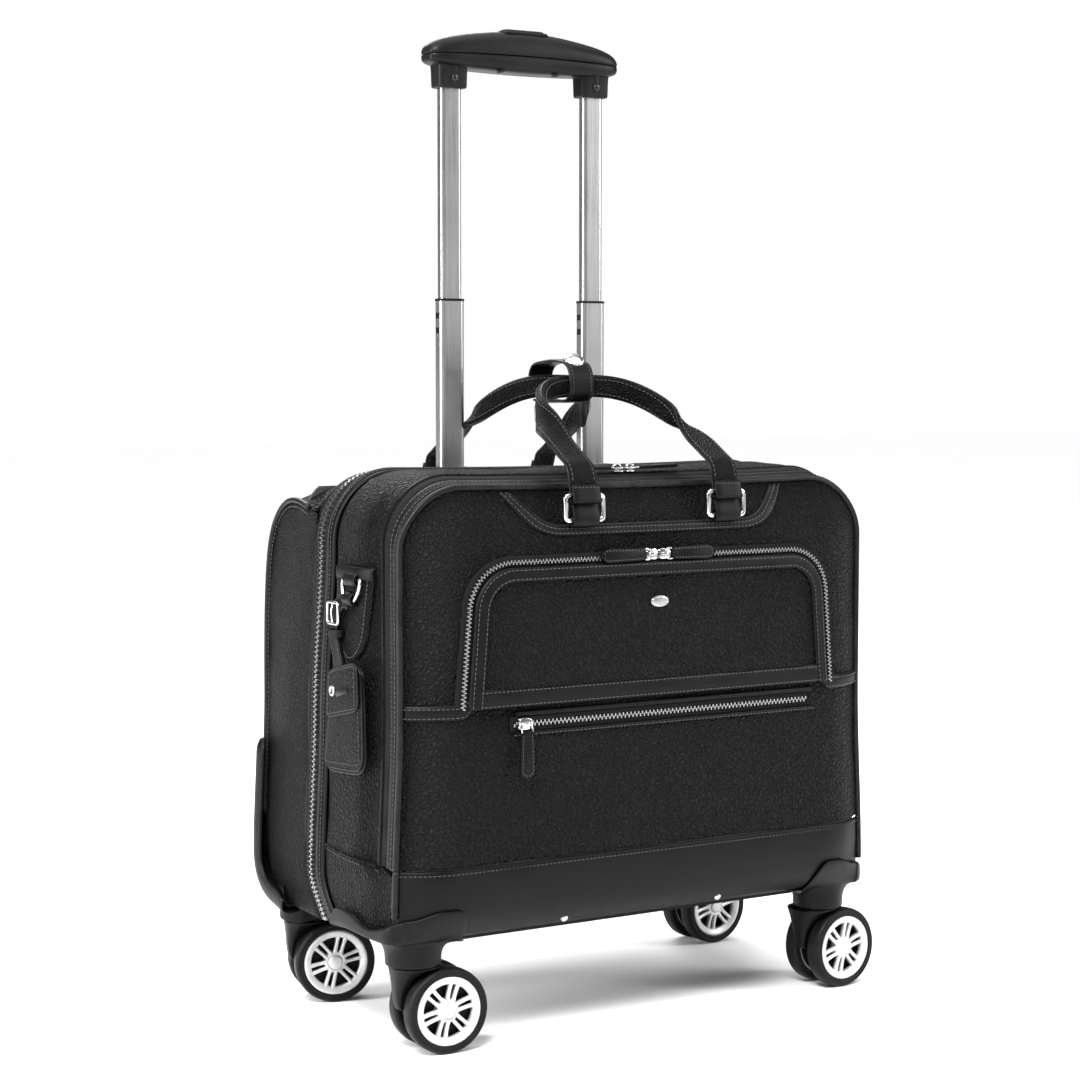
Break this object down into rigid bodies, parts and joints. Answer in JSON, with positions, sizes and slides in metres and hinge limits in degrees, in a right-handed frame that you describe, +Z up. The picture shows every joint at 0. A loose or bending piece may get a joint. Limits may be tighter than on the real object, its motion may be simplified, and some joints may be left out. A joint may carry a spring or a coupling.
{
  "type": "rolling laptop case",
  "caption": "Soft leather laptop case on swivelling twin-wheel casters, with a telescopic trolley handle, joined carry handles, zipped pockets and a luggage tag.",
  "frame": {"origin": "on the floor, midway between the four caster swivel axes", "axes": "+X to the case's right seen from the front, +Y to the back (tube side), +Z up"},
  "size_m": [0.4262, 0.242, 0.723],
  "materials": {
    "pebbled_leather": "pebbled, semi-matte",
    "smooth_leather": "smooth, satin",
    "zip_cloth": "woven tape",
    "zip_metal": "polished nickel",
    "hardware_metal": "brushed nickel",
    "black_plastic": "fine moulded texture",
    "stiff_board": "embossed sheet",
    "padding": "quilted lining cloth",
    "tube_aluminium": "satin anodised",
    "rim_plastic": "silver paint",
    "tyre_rubber": "matte rubber",
    "spring_steel": "drawn wire"
  },
  "bodies": {
    "case": {"middle_shell": "pebbled_leather", "rear_shell": "pebbled_leather", "bottom_band": "smooth_leather", "shell_piping": "smooth_leather", "zip_tapes": "zip_cloth", "main_zip_teeth": "zip_metal", "chassis_plate": "black_plastic", "back_board": "stiff_board", "laptop_divider": "padding", "outer_tubes": "tube_aluminium", "tube_bezels": "black_plastic", "tube_foot": "black_plastic", "case_rings": "hardware_metal", "case_tabs": "smooth_leather", "corner_guards": "black_plastic", "base_screws": "hardware_metal", "housing_front_left": "black_plastic", "housing_front_right": "black_plastic", "housing_rear_left": "black_plastic", "housing_rear_right": "black_plastic"},
    "front_panel": {"front_panel": "pebbled_leather", "panel_piping": "smooth_leather", "arc_pocket": "pebbled_leather", "pocket_zips": "zip_metal", "emblem": "hardware_metal", "front_handle_rings": "hardware_metal", "front_chapes": "smooth_leather"},
    "front_handle": {"front_handle": "pebbled_leather", "handle_wrap": "smooth_leather", "wrap_snap": "hardware_metal"},
    "rear_handle": {"rear_handle": "pebbled_leather"},
    "middle_stage": {"middle_tubes": "tube_aluminium", "tube_collars": "black_plastic"},
    "upper_stage": {"upper_tubes": "tube_aluminium", "grip_upper": "black_plastic", "grip_lower": "black_plastic", "grip_screws": "hardware_metal", "button_spring": "spring_steel"},
    "button": {"grip_button": "black_plastic"},
    "tag": {"tag_strap": "smooth_leather", "luggage_tag": "smooth_leather"},
    "arc_slider_left": {"arc_slider_left": "zip_metal"},
    "arc_slider_right": {"arc_slider_right": "zip_metal"},
    "top_slider_left": {"top_slider_left": "zip_metal"},
    "top_slider_right": {"top_slider_right": "zip_metal"},
    "low_slider": {"low_slider": "zip_metal"},
    "low_pull": {"low_pull": "smooth_leather"},
    "main_slider": {"main_slider": "zip_metal"},
    "caster_front_left": {"fork_front_left": "black_plastic"},
    "wheels_front_left": {"hubs_front_left": "rim_plastic", "tyres_front_left": "tyre_rubber"},
    "caster_front_right": {"fork_front_right": "black_plastic"},
    "wheels_front_right": {"hubs_front_right": "rim_plastic", "tyres_front_right": "tyre_rubber"},
    "caster_rear_left": {"fork_rear_left": "black_plastic"},
    "wheels_rear_left": {"hubs_rear_left": "rim_plastic", "tyres_rear_left": "tyre_rubber"},
    "caster_rear_right": {"fork_rear_right": "black_plastic"},
    "wheels_rear_right": {"hubs_rear_right": "rim_plastic", "tyres_rear_right": "tyre_rubber"}
  },
  "joints": [
    {"name": "front_panel_open", "type": "hinge", "parent": "case", "child": "front_panel", "pos_m": [0, -0.119, 0.131], "axis": [1, 0, 0], "range_deg": [0, 90]},
    {"name": "front_handle_swing", "type": "hinge", "parent": "front_panel", "child": "front_handle", "pos_m": [0, -0.1213, 0.38], "axis": [1, 0, 0], "range_deg": [0, 150]},
    {"name": "rear_handle_swing", "type": "hinge", "parent": "case", "child": "rear_handle", "pos_m": [0, 0.1115, 0.388], "axis": [1, 0, 0], "range_deg": [-150, 0]},
    {"name": "middle_stage_slide", "type": "slide", "parent": "case", "child": "middle_stage", "axis": [0, 0, 1], "range_m": [-0.1215, 0.119]},
    {"name": "upper_stage_slide", "type": "slide", "parent": "middle_stage", "child": "upper_stage", "axis": [0, 0, 1], "range_m": [-0.113, 0.089]},
    {"name": "grip_button_press", "type": "slide", "parent": "upper_stage", "child": "button", "axis": [0, 0, -1], "range_m": [0, 0.004], "stiffness_N_per_m": 400, "springref_m": -0.002, "deforming": ["button_spring"]},
    {"name": "tag_swing", "type": "hinge", "parent": "case", "child": "tag", "pos_m": [-0.205, -0.042, 0.316], "axis": [0, 1, 0], "range_deg": [0, 100]},
    {"name": "arc_slider_left_slide", "type": "slide", "parent": "front_panel", "child": "arc_slider_left", "axis": [-1, 0, 0], "range_m": [0, 0.11]},
    {"name": "arc_slider_right_slide", "type": "slide", "parent": "front_panel", "child": "arc_slider_right", "axis": [1, 0, 0], "range_m": [0, 0.11]},
    {"name": "top_slider_left_slide", "type": "slide", "parent": "case", "child": "top_slider_left", "axis": [-1, 0, 0], "range_m": [0, 0.12]},
    {"name": "top_slider_right_slide", "type": "slide", "parent": "case", "child": "top_slider_right", "axis": [1, 0, 0], "range_m": [0, 0.12]},
    {"name": "low_slider_slide", "type": "slide", "parent": "front_panel", "child": "low_slider", "axis": [1, 0, 0], "range_m": [0, 0.236]},
    {"name": "low_pull_swing", "type": "hinge", "parent": "low_slider", "child": "low_pull", "pos_m": [-0.108, -0.1251, 0.2275], "axis": [-1, 0, 0], "range_deg": [0, 110]},
    {"name": "main_slider_slide", "type": "slide", "parent": "case", "child": "main_slider", "axis": [0, 0, 1], "range_m": [0, 0.2]},
    {"name": "swivel_front_left", "type": "hinge", "parent": "case", "child": "caster_front_left", "pos_m": [-0.172, -0.083, 0.066], "axis": [0, 0, 1], "continuous": true},
    {"name": "wheels_front_left_spin", "type": "hinge", "parent": "caster_front_left", "child": "wheels_front_left", "pos_m": [-0.15563, -0.08403, 0.03], "axis": [0.0628, 0.998, 0], "continuous": true},
    {"name": "swivel_front_right", "type": "hinge", "parent": "case", "child": "caster_front_right", "pos_m": [0.172, -0.083, 0.066], "axis": [0, 0, 1], "continuous": true},
    {"name": "wheels_front_right_spin", "type": "hinge", "parent": "caster_front_right", "child": "wheels_front_right", "pos_m": [0.18833, -0.08146, 0.03], "axis": [-0.0941, 0.9956, 0], "continuous": true},
    {"name": "swivel_rear_left", "type": "hinge", "parent": "case", "child": "caster_rear_left", "pos_m": [-0.172, 0.083, 0.066], "axis": [0, 0, 1], "continuous": true},
    {"name": "wheels_rear_left_spin", "type": "hinge", "parent": "caster_rear_left", "child": "wheels_rear_left", "pos_m": [-0.15609, 0.07903, 0.03], "axis": [0.2419, 0.9703, 0], "continuous": true},
    {"name": "swivel_rear_right", "type": "hinge", "parent": "case", "child": "caster_rear_right", "pos_m": [0.172, 0.083, 0.066], "axis": [0, 0, 1], "continuous": true},
    {"name": "wheels_rear_right_spin", "type": "hinge", "parent": "caster_rear_right", "child": "wheels_rear_right", "pos_m": [0.18835, 0.08426, 0.03], "axis": [-0.0767, 0.9971, 0], "continuous": true}
  ],
  "couplings": [
    {"joint": "rear_handle_swing", "follows": "front_handle_swing", "ratio": -1}
  ]
}
